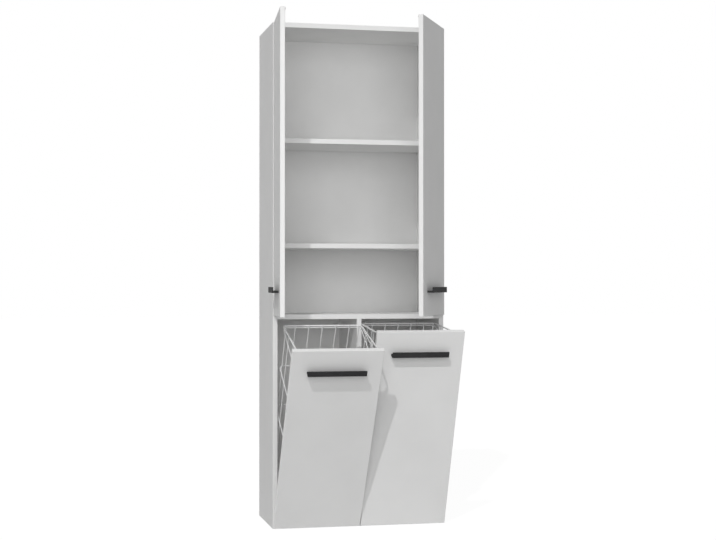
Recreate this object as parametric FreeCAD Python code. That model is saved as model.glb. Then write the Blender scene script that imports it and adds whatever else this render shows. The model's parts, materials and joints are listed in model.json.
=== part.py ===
import FreeCAD, Part
import math
import os

# Tall bathroom cabinet with two tilting wire hampers below and two doors above.
# Millimetres. X runs to the right, Y towards the wall and Z up.
# The origin is on the floor, under the middle of the carcass.

# Carcass
WIDTH = 600.0
DEPTH = 300.0
HEIGHT = 1720.0
BOARD = 16.0
BACK_BOARD = 3.0
MIDDLE_SHELF_TOP = 726.0
LOWER_SHELF_TOP = 968.0
UPPER_SHELF_TOP = 1326.0
SHELF_PLAY = 1.0
SHELF_SETBACK = 2.0
SHELF_DEPTH = 288.0

# Doors and hamper fronts, called leaves
LEAF_GAP = 2.5
LEAF_REVEAL = 1.0
LEAF_SPLIT = 2.5
LEAF_ARRIS = 1.0
FRONT_BOTTOM = 4.0
FRONT_TOP = 720.5
DOOR_BOTTOM = 723.0
DOOR_TOP = 1717.5

# How far each leaf stands open, in degrees
LEFT_DOOR_OPEN = 95.5
RIGHT_DOOR_OPEN = 60.7
LEFT_HAMPER_OPEN = 30.6
RIGHT_HAMPER_OPEN = 20.5

# Angle handles: a face plate in front of the leaf, carried by a web along its lower edge
HANDLE_LENGTH = 192.0
HANDLE_HEIGHT = 19.0
HANDLE_REACH = 22.0
HANDLE_PLATE = 4.0
HANDLE_WEB = 7.0
HANDLE_CORNER = 1.5
FRONT_HANDLE_BELOW_TOP = 84.0
DOOR_HANDLE_ABOVE_BOTTOM = 78.0
HANDLE_SCREW_SPACING = 160.0
HANDLE_SCREW_RADIUS = 2.0
HANDLE_SCREW_DEPTH = 10.0
SCREW_HEAD_RADIUS = 4.0
SCREW_HEAD_HEIGHT = 2.2

# Cup hinges: the pin sits inside the cup, PIN_IN from the leaf's edge and PIN_DEEP behind its inner face
PIN_IN = 7.0
PIN_DEEP = 9.5
PIN_RADIUS = 1.25
PIN_PLAY = 0.05
KNUCKLE_RADIUS = 2.7
CUP_RADIUS = 17.5
CUP_SIDES = 24
CUP_WALL = 0.9
CUP_MARGIN = 2.8
CUP_DEPTH = 12.6
CUP_FLOOR = 0.8
CUP_SLOT_HALF = 7.0
CUP_EAR_REACH = 3.3
FLANGE_THICK = 1.2
FLANGE_LUG_OFFSET = 6.0
FLANGE_LUG_HALF = 30.0
FLANGE_LUG_WIDTH = 11.0
ARM_HALF = 5.0
ARM_THICK = 2.0
ARM_HOOK = 12.5
ARM_LENGTH = 60.0
PLATE_SETBACK = 37.0
PLATE_LENGTH = 44.0
PLATE_HALF = 9.0
WING_LENGTH = 14.0
WING_HALF = 24.0
WING_THICK = 2.0
STOP_THICK = 1.0
DOOR_HINGE_INSET = 90.0
FRONT_HINGE_SPACING = 160.0

# Small round fittings are drawn with this many flats
STUD_SIDES = 6

# Hardware in the carcass
SHELF_PIN_RADIUS = 2.5
SHELF_PIN_IN = 9.0
SHELF_PIN_OUT = 9.0
SHELF_PIN_ROWS = (-100.0, 90.0)
CAM_RADIUS = 7.5
CAM_HEIGHT = 12.5
CAM_INSET = 24.0
CAM_BOLT_RADIUS = 3.5
CAM_BOLT_IN = 10.0
CAM_ROWS = (-70.0, 90.0)
DOWEL_RADIUS = 4.0
DOWEL_HALF = 12.0
BRACKET_SPACING = 400.0
BRACKET_WIDTH = 30.0
BRACKET_LEG = 35.0
BRACKET_THICK = 2.0
BRACKET_HOLE_RADIUS = 2.75
BRACKET_HOLE_UP = 22.0

# Wire baskets, measured in the closed hamper: up from the front's bottom edge, back from its inner face
WIRE = 3.0
RIM_WIRE = 5.0
BASKET_WIDTH = 264.0
BASKET_FRONT = 8.0
BASKET_BACK = 272.0
BASKET_CORNER = 18.0
BASKET_FLOOR = 62.0
HOOP_HEIGHTS = (147.0, 308.0, 469.0, 622.0)
RIM_BACK_HEIGHT = 629.0
RIM_FRONT_HEIGHT = 700.0
UPRIGHT_PITCH = 46.0
SIDE_UPRIGHTS = (95.0, 183.0)
UPRIGHT_BEND = 20.0
BEND_CHORDS = 3
WIRE_SIDES = 6
CLIP_OFFSET = 69.0
CLIP_WIDTH = 18.0
CLIP_WALL = 2.5
CLIP_PLAY = 0.3
CLIP_LIP = 1.0
CLIP_RISE = 4.5

# Bumper pads
PAD_RADIUS = 3.5
PAD_HEIGHT = 2.1
PAD_INSET = 6.0

# Places worked out from the driving dimensions
INNER = WIDTH / 2 - BOARD
FACE = -DEPTH / 2
WALL = DEPTH / 2
INNER_BACK = WALL - BACK_BOARD
BAY_MIDDLE = (INNER + BOARD / 2) / 2
LEAF_INNER = FACE - LEAF_GAP
LEAF_OUTER = LEAF_INNER - BOARD
LEAF_FAR = WIDTH / 2 - LEAF_REVEAL
LEAF_NEAR = LEAF_SPLIT / 2
LEAF_MIDDLE = (LEAF_FAR + LEAF_NEAR) / 2
PIN_Y = LEAF_INNER - PIN_DEEP
DOOR_PIN_X = LEAF_FAR - PIN_IN
FRONT_PIN_Z = FRONT_BOTTOM + PIN_IN
FRONT_EDGE = PIN_DEEP + LEAF_GAP
SIDES = (("left", -1), ("right", 1))

X_AXIS = FreeCAD.Vector(1, 0, 0)
Y_AXIS = FreeCAD.Vector(0, 1, 0)
Z_AXIS = FreeCAD.Vector(0, 0, 1)


def point(x, y, z):
    return FreeCAD.Vector(x, y, z)


def box(x, y, z):
    """A block between two limits on each axis."""
    low = point(min(x), min(y), min(z))
    return Part.makeBox(abs(x[1] - x[0]), abs(y[1] - y[0]), abs(z[1] - z[0]), low)


def rod(radius, start, end):
    """A round bar between two points."""
    along = end.sub(start)
    return Part.makeCylinder(radius, along.Length, start, along)


def flat_sided(sides, middle, across, side, radius, stretch=1.0):
    """Corners of an even-sided section round a circle, stretched sideways where two runs meet in a mitre."""
    reach = radius / math.cos(math.pi / sides)
    corners = []
    for step in range(sides):
        angle = (step + 0.5) * 2 * math.pi / sides
        sideways = side * (reach * stretch * math.cos(angle))
        corners.append(middle + sideways + across * (reach * math.sin(angle)))
    return corners


def stud(radius, start, end):
    """A small round fitting, drawn with a few flats, one of them on top."""
    along = end.sub(start)
    up = X_AXIS if abs(along.z) > abs(along.x) + abs(along.y) else Z_AXIS
    return prism(flat_sided(STUD_SIDES, start, along.cross(up).normalize(), up, radius), along)


def flat_face(outline):
    """The flat face inside a closed outline of points."""
    return Part.Face(Part.makePolygon(outline + outline[:1]))


def prism(outline, direction):
    """A closed outline of points pushed along a direction."""
    return flat_face(outline).extrude(direction)


def write(name, solids):
    """One file per node, holding its separate solids."""
    Part.makeCompound(solids).exportStep(os.path.join("parts", name + ".step"))


def opened(solids, base, axis, degrees):
    """Turn the pieces of a leaf about its pin to the angle at which it stands open."""
    turned = []
    for solid in solids:
        copy = solid.copy()
        copy.rotate(base, axis, degrees)
        turned.append(copy)
    return turned


# Hinge pieces. They are drawn about the pin, with X away from the leaf's hinge edge,
# Y towards the wall and Z along the pin, and then placed along each leaf.

def cup_drum(radius, middle, low, high):
    """The round of a cup, drawn with flats."""
    return prism(flat_sided(CUP_SIDES, point(middle, low, 0), X_AXIS, Z_AXIS, radius), Y_AXIS * (high - low))


def cup_outline(radius, slot_half, slot_x, low, high):
    """The round cup joined to the square slot in which the knuckle turns."""
    middle = CUP_MARGIN + CUP_RADIUS - PIN_IN
    drum = cup_drum(radius, middle, low, high)
    slot = box((slot_x, middle), (low, high), (-slot_half, slot_half))
    return drum.fuse(slot).removeSplitter()


def cup_pocket():
    """What is milled out of a leaf to take one cup."""
    floor = PIN_DEEP - CUP_DEPTH - CUP_FLOOR
    slot_x = CUP_MARGIN - PIN_IN
    return cup_outline(CUP_RADIUS, CUP_SLOT_HALF + CUP_WALL, slot_x, floor, PIN_DEEP)


def hinge_cup():
    """A pressed cup with a screw flange, and two ears that carry the pin."""
    floor = PIN_DEEP - CUP_DEPTH
    slot_x = CUP_MARGIN + CUP_WALL - PIN_IN
    middle = CUP_MARGIN + CUP_RADIUS - PIN_IN
    top = PIN_DEEP + FLANGE_THICK
    lug_x = middle + FLANGE_LUG_OFFSET - FLANGE_LUG_WIDTH / 2
    lugs = box((lug_x, lug_x + FLANGE_LUG_WIDTH), (PIN_DEEP, top), (-FLANGE_LUG_HALF, FLANGE_LUG_HALF))
    ends = [edge for edge in lugs.Edges if abs(edge.tangentAt(edge.FirstParameter).y) > 0.9]
    lugs = lugs.makeChamfer(FLANGE_LUG_WIDTH / 3, ends)
    ring = cup_drum(CUP_RADIUS, middle, PIN_DEEP, top)
    cup = cup_pocket().fuse([lugs, ring]).removeSplitter()
    hollow = cup_outline(CUP_RADIUS - CUP_WALL, CUP_SLOT_HALF, slot_x, floor, top)
    mouth = box((-PIN_IN, 0), (PIN_DEEP, top), (-CUP_SLOT_HALF, CUP_SLOT_HALF))
    ear_x = (slot_x, CUP_EAR_REACH)
    ear_y = (floor, CUP_EAR_REACH)
    ear_far = CUP_SLOT_HALF + CUP_WALL
    ears = [box(ear_x, ear_y, (side * CUP_SLOT_HALF, side * ear_far)) for side in (-1, 1)]
    return cup.cut([hollow, mouth]).fuse(ears).removeSplitter()


def hinge_pin():
    """The pin held between the cup's ears."""
    return rod(PIN_RADIUS, point(0, 0, -CUP_SLOT_HALF), point(0, 0, CUP_SLOT_HALF))


def hinge_arm(stop_angle):
    """A bent steel arm: knuckle on the pin, hook out of the cup, and a flat that lies on the plate."""
    end = FRONT_EDGE + ARM_LENGTH
    low = -ARM_THICK
    high = 0.4
    outer = ARM_HOOK + ARM_THICK
    hook = [(0, low), (outer, low), (outer, end), (ARM_HOOK, end), (ARM_HOOK, high), (0, high)]
    width = point(0, 0, 2 * ARM_HALF)
    arm = prism([point(x, y, -ARM_HALF) for x, y in hook], width)
    knuckle = stud(KNUCKLE_RADIUS, point(0, 0, -ARM_HALF), point(0, 0, ARM_HALF))
    pieces = [knuckle]
    if stop_angle:
        pieces.append(stop_finger(stop_angle, width))
    arm = arm.fuse(pieces).removeSplitter()
    bore = rod(PIN_RADIUS + PIN_PLAY, point(0, 0, -ARM_HALF), point(0, 0, ARM_HALF))
    return arm.cut(bore)


def stop_finger(angle, width):
    """A finger in the gap behind the front; the front's inner face meets its slanted tip when fully out."""
    play = 0.35
    low = FRONT_EDGE - 0.6 - STOP_THICK
    high = low + STOP_THICK
    slant = math.radians(angle)

    def tip(y):
        return (PIN_DEEP + play - y * math.cos(slant)) / math.sin(slant)

    outline = [(ARM_HOOK, low), (ARM_HOOK, high), (tip(high), high), (tip(low), low)]
    return prism([point(x, y, -ARM_HALF) for x, y in outline], width)


def hinge_plate(board_x):
    """The mounting plate between the arm and the board, with two screw wings."""
    middle = FRONT_EDGE + PLATE_SETBACK
    block_y = (middle - PLATE_LENGTH / 2, middle + PLATE_LENGTH / 2)
    wing_y = (middle - WING_LENGTH / 2, middle + WING_LENGTH / 2)
    block = box((board_x, ARM_HOOK), block_y, (-PLATE_HALF, PLATE_HALF))
    wing = box((board_x, board_x + WING_THICK), wing_y, (-WING_HALF, WING_HALF))
    return block.fuse(wing).removeSplitter()


def place(piece, base, turn):
    """Move a hinge piece from the pin's own frame to its pin on the cabinet."""
    moved = piece.copy()
    moved.Placement = FreeCAD.Placement(base, turn).multiply(moved.Placement)
    return moved


# Wires of the baskets

def rounded(corners, bend, closed):
    """A run of points along square corners, each turned in a few short chords."""
    count = len(corners)
    points = []
    for index, corner in enumerate(corners):
        if not closed and index in (0, count - 1):
            points.append(corner)
            continue
        back = corners[index - 1].sub(corner).normalize() * bend
        ahead = corners[(index + 1) % count].sub(corner).normalize() * bend
        centre = corner + back + ahead
        for step in range(BEND_CHORDS + 1):
            angle = math.pi / 2 * step / BEND_CHORDS
            points.append(centre - ahead * math.cos(angle) - back * math.sin(angle))
    return points


def bent_wire(corners, bend, normal, size, closed=False):
    """Wire along square corners in one plane, six-sided, so that crossing wires are welded on flats."""
    points = rounded(corners, bend, closed)
    count = len(points)
    rings = []
    for index, here in enumerate(points):
        arriving = here.sub(points[index - 1]).normalize()
        leaving = points[(index + 1) % count].sub(here).normalize()
        if not closed and index == 0:
            arriving = leaving
        if not closed and index == count - 1:
            leaving = arriving
        through = arriving + leaving
        stretch = 2 / through.Length
        sideways = through.normalize().cross(normal)
        rings.append(flat_sided(WIRE_SIDES, here, normal, sideways, size / 2, stretch))
    faces = []
    for index in range(count if closed else count - 1):
        near = rings[index]
        far = rings[(index + 1) % count]
        for step in range(WIRE_SIDES):
            after = (step + 1) % WIRE_SIDES
            faces.append(flat_face([near[step], near[after], far[after], far[step]]))
    if not closed:
        faces.append(flat_face(rings[0]))
        faces.append(flat_face(rings[-1]))
    shell = Part.makeShell(faces)
    shell.sewShape()
    return Part.makeSolid(shell)


def basket_point(x, back, up):
    """A place in a closed hamper: back from the front's inner face, up from its bottom edge."""
    return point(x, LEAF_INNER + back, FRONT_BOTTOM + up)


def rim_height(back):
    """Height of the sloping rim."""
    slope = (RIM_FRONT_HEIGHT - RIM_BACK_HEIGHT) / (BASKET_BACK - BASKET_FRONT)
    return RIM_FRONT_HEIGHT - slope * (back - BASKET_FRONT)


def basket_rim(middle):
    """The thick top wire, higher at the front, lying just outside the hoops."""
    grow = (RIM_WIRE - WIRE) / 2
    half = BASKET_WIDTH / 2 + grow
    front = BASKET_FRONT - grow
    back = BASKET_BACK + grow
    corners = [basket_point(middle - half, front, rim_height(front)),
               basket_point(middle + half, front, rim_height(front)),
               basket_point(middle + half, back, rim_height(back)),
               basket_point(middle - half, back, rim_height(back))]
    across = corners[1].sub(corners[0]).normalize()
    along = corners[2].sub(corners[1]).normalize()
    return [bent_wire(corners, BASKET_CORNER + grow, across.cross(along), RIM_WIRE, closed=True)]


def basket_hoops(middle):
    """Level closed hoops round the basket."""
    half = BASKET_WIDTH / 2
    hoops = []
    for up in HOOP_HEIGHTS:
        corners = [basket_point(middle - half, BASKET_FRONT, up),
                   basket_point(middle + half, BASKET_FRONT, up),
                   basket_point(middle + half, BASKET_BACK, up),
                   basket_point(middle - half, BASKET_BACK, up)]
        hoops.append(bent_wire(corners, BASKET_CORNER, Z_AXIS, WIRE, closed=True))
    return hoops


def basket_uprights(middle):
    """Wires bent down one wall, under the floor and up the other wall, and a straight one in each corner."""
    front = BASKET_FRONT + WIRE
    back = BASKET_BACK - WIRE
    half = BASKET_WIDTH / 2 - WIRE
    top = RIM_WIRE / 2
    uprights = []
    for step in range(-2, 3):
        x = middle + step * UPRIGHT_PITCH
        corners = [basket_point(x, back, rim_height(back) + top),
                   basket_point(x, back, BASKET_FLOOR),
                   basket_point(x, front, BASKET_FLOOR),
                   basket_point(x, front, rim_height(front) + top)]
        uprights.append(bent_wire(corners, UPRIGHT_BEND, X_AXIS, WIRE))
    for depth in SIDE_UPRIGHTS:
        low = BASKET_FLOOR - WIRE
        high = rim_height(depth) + top
        corners = [basket_point(middle - half, depth, high),
                   basket_point(middle - half, depth, low),
                   basket_point(middle + half, depth, low),
                   basket_point(middle + half, depth, high)]
        uprights.append(bent_wire(corners, UPRIGHT_BEND, Y_AXIS, WIRE))
    chord_middle = BASKET_CORNER * math.cos(math.pi / 4 / BEND_CHORDS)
    inset = BASKET_CORNER - (chord_middle - WIRE) * math.sqrt(0.5)
    for side in (-1, 1):
        for depth in (BASKET_FRONT + inset, BASKET_BACK - inset):
            x = middle + side * (BASKET_WIDTH / 2 - inset)
            ends = [basket_point(x, depth, rim_height(depth) + top),
                    basket_point(x, depth, HOOP_HEIGHTS[0] - WIRE)]
            corner_way = point(side, -1 if depth < BASKET_BACK / 2 else 1, 0).normalize()
            uprights.append(bent_wire(ends, 0.0, corner_way.cross(Z_AXIS), WIRE))
    return uprights


def basket_clips(middle):
    """Hooks screwed to the front; the rim and the lowest hoop drop into them."""
    clips = []
    rim_centre = BASKET_FRONT - (RIM_WIRE - WIRE) / 2
    wires = ((rim_centre, rim_height(rim_centre), RIM_WIRE), (BASKET_FRONT, HOOP_HEIGHTS[0], WIRE))
    for centre, level, wire in wires:
        room = wire / 2 + CLIP_PLAY
        near = centre - room
        far = centre + room
        seat = level - room
        lip = far + CLIP_WALL
        sole = seat - CLIP_WALL
        hook = [(0, sole), (lip, sole), (lip, level + CLIP_LIP), (far, level + CLIP_LIP),
                (far, seat), (near, seat), (near, level + CLIP_RISE), (0, level + CLIP_RISE)]
        for side in (-1, 1):
            x = middle + side * CLIP_OFFSET - CLIP_WIDTH / 2
            outline = [basket_point(x, back, height) for back, height in hook]
            clips.append(prism(outline, point(CLIP_WIDTH, 0, 0)))
    return clips


# Pieces shared by the four leaves

def handle_screws(middle, low):
    """Pan-head screws from inside the leaf into the back of the handle's web."""
    screws = []
    z = low + HANDLE_WEB / 2
    for x in (middle - HANDLE_SCREW_SPACING / 2, middle + HANDLE_SCREW_SPACING / 2):
        seat = point(x, LEAF_INNER, z)
        head = stud(SCREW_HEAD_RADIUS, seat, point(x, LEAF_INNER + SCREW_HEAD_HEIGHT, z))
        shank = stud(HANDLE_SCREW_RADIUS, seat, point(x, LEAF_OUTER - HANDLE_SCREW_DEPTH, z))
        screws.append(head.fuse(shank))
    return screws


def angle_handle(middle, low):
    """A face plate and the web that carries it, open at the top for the fingers."""
    outer = LEAF_OUTER - HANDLE_REACH
    inner = outer + HANDLE_PLATE
    high = low + HANDLE_HEIGHT
    shelf = low + HANDLE_WEB
    outline = [(LEAF_OUTER, low), (outer, low), (outer, high),
               (inner, high), (inner, shelf), (LEAF_OUTER, shelf)]
    left = middle - HANDLE_LENGTH / 2
    angle = prism([point(left, y, z) for y, z in outline], point(HANDLE_LENGTH, 0, 0))
    corners = [edge for edge in angle.Edges if abs(edge.CenterOfMass.x - middle) < 0.01
               and abs(edge.CenterOfMass.y - outer) < 0.01]
    return angle.makeFillet(HANDLE_CORNER, corners).cut(handle_screws(middle, low))


def leaf_board(x, z):
    """A board with its arrises taken off."""
    board = box(x, (LEAF_OUTER, LEAF_INNER), z)
    return board.makeChamfer(LEAF_ARRIS, board.Edges)


def pad(x, z):
    """A round bumper pad on the inner face of a leaf."""
    return stud(PAD_RADIUS, point(x, LEAF_INNER, z), point(x, LEAF_INNER + PAD_HEIGHT, z))


def write_leaf(name, panel_name, board, handle_at, hinges, pads, axis, degrees, extra):
    """Finish one leaf, turn it open about its pins and write its nodes."""
    cups = [place(hinge_cup(), base, turn) for base, turn in hinges]
    pins = [place(hinge_pin(), base, turn) for base, turn in hinges]
    pockets = [place(cup_pocket(), base, turn) for base, turn in hinges]
    screws = handle_screws(*handle_at)
    nodes = {panel_name: [board.cut(pockets + screws)],
             "handle": [angle_handle(*handle_at)],
             "handle_screws": screws,
             "hinge_cups": cups,
             "hinge_pins": pins,
             "bumpers": pads}
    nodes.update(extra)
    for node, solids in nodes.items():
        write(name + "_" + node, opened(solids, hinges[0][0], axis, degrees))


def write_door(side_name, side, degrees):
    """A door that swings on two hinges along its outer edge."""
    heights = (DOOR_BOTTOM + DOOR_HINGE_INSET, DOOR_TOP - DOOR_HINGE_INSET)
    turn = FreeCAD.Rotation(Y_AXIS, 0 if side < 0 else 180)
    hinges = [(point(side * DOOR_PIN_X, PIN_Y, z), turn) for z in heights]
    board = leaf_board((side * LEAF_NEAR, side * LEAF_FAR), (DOOR_BOTTOM, DOOR_TOP))
    handle_at = (side * LEAF_MIDDLE, DOOR_BOTTOM + DOOR_HANDLE_ABOVE_BOTTOM)
    pads = [pad(side * (LEAF_NEAR + PAD_INSET), DOOR_TOP - PAD_INSET)]
    write_leaf(side_name + "_door", "panel", board, handle_at, hinges, pads, Z_AXIS, side * degrees, {})
    write_hinge_mounts(side_name + "_door", hinges, DOOR_PIN_X - INNER, 0)


def write_hamper(side_name, side, degrees):
    """A front that tilts out at the top on two hinges along its bottom edge, with its wire basket."""
    middle = side * BAY_MIDDLE
    turn = FreeCAD.Rotation(Y_AXIS, -90)
    hinges = [(point(middle + step * FRONT_HINGE_SPACING / 2, PIN_Y, FRONT_PIN_Z), turn) for step in (-1, 1)]
    board = leaf_board((side * LEAF_NEAR, side * LEAF_FAR), (FRONT_BOTTOM, FRONT_TOP))
    handle_at = (side * LEAF_MIDDLE, FRONT_TOP - FRONT_HANDLE_BELOW_TOP)
    pads = [pad(side * LEAF_MIDDLE + step * (LEAF_MIDDLE - LEAF_NEAR - 3 * PAD_INSET), FRONT_TOP - PAD_INSET)
            for step in (-1, 1)]
    basket = {"basket_rim": basket_rim(middle), "basket_hoops": basket_hoops(middle),
              "basket_uprights": basket_uprights(middle), "basket_clips": basket_clips(middle)}
    write_leaf(side_name + "_hamper", "front", board, handle_at, hinges, pads, X_AXIS, degrees, basket)
    write_hinge_mounts(side_name + "_hamper", hinges, BOARD - FRONT_PIN_Z, LEFT_HAMPER_OPEN)


def write_hinge_mounts(name, hinges, board_x, stop_angle):
    """The arms and plates that stay on the carcass."""
    write(name + "_hinge_arms", [place(hinge_arm(stop_angle), base, turn) for base, turn in hinges])
    write(name + "_hinge_plates", [place(hinge_plate(board_x), base, turn) for base, turn in hinges])


# Carcass

def cam_places():
    """Each cam lock: side, row, board underside, and whether it is let in from above."""
    levels = ((0.0, True), (MIDDLE_SHELF_TOP - BOARD, False), (HEIGHT - BOARD, False))
    return [(side, y, low, from_above) for low, from_above in levels for side in (-1, 1) for y in CAM_ROWS]


def cam_lock(side, y, low, from_above):
    """The round cam that is let into a level board near its end."""
    x = side * (INNER - CAM_INSET)
    start = low + BOARD - CAM_HEIGHT if from_above else low
    return stud(CAM_RADIUS, point(x, y, start), point(x, y, start + CAM_HEIGHT))


def cam_bolt(side, y, low, from_above):
    """The bolt that the cam draws in, set in the side."""
    z = low + BOARD / 2
    return stud(CAM_BOLT_RADIUS, point(side * (INNER + CAM_BOLT_IN), y, z),
               point(side * (INNER - CAM_INSET + CAM_RADIUS), y, z))


def shelf_pin(side, y, underside):
    """A peg in the side on which a loose shelf rests."""
    z = underside - SHELF_PIN_RADIUS
    return stud(SHELF_PIN_RADIUS, point(side * (INNER + SHELF_PIN_IN), y, z),
               point(side * (INNER - SHELF_PIN_OUT), y, z))


def partition_dowel(y, joint):
    """A wood dowel across the joint between the partition and a level board."""
    return stud(DOWEL_RADIUS, point(0, y, joint - DOWEL_HALF), point(0, y, joint + DOWEL_HALF))


def wall_bracket(x):
    """A steel angle on the top panel, with a hole for the wall screw."""
    inner = WALL - BRACKET_THICK
    top = HEIGHT + BRACKET_THICK
    near = WALL - BRACKET_LEG
    high = HEIGHT + BRACKET_LEG
    outline = [(near, HEIGHT), (WALL, HEIGHT), (WALL, high), (inner, high), (inner, top), (near, top)]
    angle = prism([point(x - BRACKET_WIDTH / 2, y, z) for y, z in outline], point(BRACKET_WIDTH, 0, 0))
    upright = [edge for edge in angle.Edges if abs(edge.CenterOfMass.z - HEIGHT - BRACKET_LEG) < 0.01
               and edge.Length < BRACKET_WIDTH / 2]
    angle = angle.makeChamfer(BRACKET_WIDTH / 4, upright)
    z = HEIGHT + BRACKET_HOLE_UP
    return angle.cut([rod(BRACKET_HOLE_RADIUS, point(x, inner, z), point(x, WALL, z)), bracket_screw(x)])


def bracket_screw(x):
    """The screw that holds a bracket to the top panel."""
    y = WALL - BRACKET_LEG / 2
    top = HEIGHT + BRACKET_THICK
    head = stud(SCREW_HEAD_RADIUS, point(x, y, top), point(x, y, top + SCREW_HEAD_HEIGHT))
    shank = stud(HANDLE_SCREW_RADIUS, point(x, y, top), point(x, y, HEIGHT - HANDLE_SCREW_DEPTH))
    return head.fuse(shank)


def write_carcass():
    """Sides, level boards, partition, back, loose shelves and their hardware."""
    cams = [cam_lock(*spot) for spot in cam_places()]
    bolts = [cam_bolt(*spot) for spot in cam_places()]
    undersides = [LOWER_SHELF_TOP - BOARD, UPPER_SHELF_TOP - BOARD]
    pins = [shelf_pin(side, y, low) for low in undersides for side in (-1, 1) for y in SHELF_PIN_ROWS]
    joints = [BOARD, MIDDLE_SHELF_TOP - BOARD]
    dowels = [partition_dowel(y, joint) for joint in joints for y in CAM_ROWS]
    bracket_spots = [-BRACKET_SPACING / 2, BRACKET_SPACING / 2]
    screws = [bracket_screw(x) for x in bracket_spots]
    rebate = BOARD - 6.0
    for name, side in SIDES:
        board = box((side * INNER, side * WIDTH / 2), (FACE, WALL), (0, HEIGHT))
        groove = box((side * INNER, side * (INNER + rebate)), (INNER_BACK, WALL), (0, HEIGHT))
        write("side_" + name, [board.cut([groove] + bolts + pins)])
    levels = {"bottom_panel": 0.0, "middle_shelf": MIDDLE_SHELF_TOP - BOARD, "top_panel": HEIGHT - BOARD}
    for name, low in levels.items():
        board = box((-INNER, INNER), (FACE, INNER_BACK), (low, low + BOARD))
        write(name, [board.cut(cams + bolts + dowels + screws)])
    upright = box((-BOARD / 2, BOARD / 2), (FACE, INNER_BACK), (BOARD, MIDDLE_SHELF_TOP - BOARD))
    write("partition", [upright.cut(dowels)])
    write("back_panel", [box((-INNER - rebate, INNER + rebate), (INNER_BACK, WALL), (0, HEIGHT))])
    shelf_y = (FACE + SHELF_SETBACK, FACE + SHELF_SETBACK + SHELF_DEPTH)
    shelf_x = (-INNER + SHELF_PLAY, INNER - SHELF_PLAY)
    for name, low in zip(("lower_shelf", "upper_shelf"), undersides):
        write(name, [box(shelf_x, shelf_y, (low, low + BOARD))])
    write("shelf_pins", pins)
    write("cam_locks", cams)
    write("cam_bolts", bolts)
    write("partition_dowels", dowels)
    write("wall_brackets", [wall_bracket(x) for x in bracket_spots])
    write("bracket_screws", screws)


os.makedirs("parts", exist_ok=True)
write_carcass()
write_door("left", -1, LEFT_DOOR_OPEN)
write_door("right", 1, RIGHT_DOOR_OPEN)
write_hamper("left", -1, LEFT_HAMPER_OPEN)
write_hamper("right", 1, RIGHT_HAMPER_OPEN)
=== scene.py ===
import json
import math

import bpy
from mathutils import Matrix, Vector


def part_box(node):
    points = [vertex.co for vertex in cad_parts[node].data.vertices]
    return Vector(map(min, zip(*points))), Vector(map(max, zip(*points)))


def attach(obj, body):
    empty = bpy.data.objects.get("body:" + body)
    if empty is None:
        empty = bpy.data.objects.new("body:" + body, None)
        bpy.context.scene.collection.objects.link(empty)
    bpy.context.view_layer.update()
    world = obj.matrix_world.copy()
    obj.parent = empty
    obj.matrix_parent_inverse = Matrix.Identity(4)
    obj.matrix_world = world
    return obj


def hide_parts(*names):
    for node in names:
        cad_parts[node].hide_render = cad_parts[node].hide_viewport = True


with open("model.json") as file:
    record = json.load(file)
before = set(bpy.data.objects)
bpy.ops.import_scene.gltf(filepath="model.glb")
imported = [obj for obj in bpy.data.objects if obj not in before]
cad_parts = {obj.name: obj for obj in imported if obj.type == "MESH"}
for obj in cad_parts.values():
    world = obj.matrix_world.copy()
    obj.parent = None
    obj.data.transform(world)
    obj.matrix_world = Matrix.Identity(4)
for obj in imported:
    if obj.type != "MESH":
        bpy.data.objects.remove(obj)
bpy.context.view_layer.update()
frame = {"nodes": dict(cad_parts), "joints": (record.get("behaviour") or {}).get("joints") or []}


# Carcass boards: sides, level boards, partition and loose shelves of white melamine-faced particleboard.
# Each is sawn to size with its arrises eased, the front edge has a thin ironed-on plastic band,
# and the rear and lower edges are left raw.
BOARD_ARRIS = 0.0005
BAND_REACH = 0.003
MERGE_WITHIN = 0.00001
FLAT_DEGREES = 0.5
SQUARE_ON = 0.9
LEANING = 0.5
BOARDS = ("side_left", "side_right", "top_panel", "bottom_panel", "middle_shelf", "partition",
          "lower_shelf", "upper_shelf")


def new_finish(name, colour, roughness, metallic=0.0, specular=0.5):
    """A material whose even values sit on the shader's own sockets."""
    finish = bpy.data.materials.new(name)
    finish.use_nodes = True
    shader = finish.node_tree.nodes["Principled BSDF"]
    shader.inputs["Base Color"].default_value = (*colour, 1)
    shader.inputs["Roughness"].default_value = roughness
    shader.inputs["Metallic"].default_value = metallic
    shader.inputs["Specular IOR Level"].default_value = specular
    return finish


def grain(finish, scale, detail=3.0, stretch=(1, 1, 1)):
    """Noise fixed to the piece, longer along any axis with a small stretch."""
    tree = finish.node_tree
    place = tree.nodes.new("ShaderNodeTexCoord")
    mapping = tree.nodes.new("ShaderNodeMapping")
    noise = tree.nodes.new("ShaderNodeTexNoise")
    mapping.inputs["Scale"].default_value = stretch
    noise.inputs["Scale"].default_value = scale
    noise.inputs["Detail"].default_value = detail
    tree.links.new(place.outputs["Object"], mapping.inputs["Vector"])
    tree.links.new(mapping.outputs["Vector"], noise.inputs["Vector"])
    return noise.outputs["Fac"]


def tint(finish, pattern, dark, light, low=0.35, high=0.65):
    """Colour that follows a pattern between two shades."""
    tree = finish.node_tree
    ramp = tree.nodes.new("ShaderNodeValToRGB")
    for stop, at, colour in zip(ramp.color_ramp.elements, (low, high), (dark, light)):
        stop.position = at
        stop.color = (*colour, 1)
    tree.links.new(pattern, ramp.inputs["Fac"])
    tree.links.new(ramp.outputs["Color"], tree.nodes["Principled BSDF"].inputs["Base Color"])


def gloss(finish, pattern, low, high):
    """Roughness that follows a pattern."""
    tree = finish.node_tree
    spread = tree.nodes.new("ShaderNodeMapRange")
    spread.inputs["To Min"].default_value = low
    spread.inputs["To Max"].default_value = high
    tree.links.new(pattern, spread.inputs["Value"])
    tree.links.new(spread.outputs["Result"], tree.nodes["Principled BSDF"].inputs["Roughness"])


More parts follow.
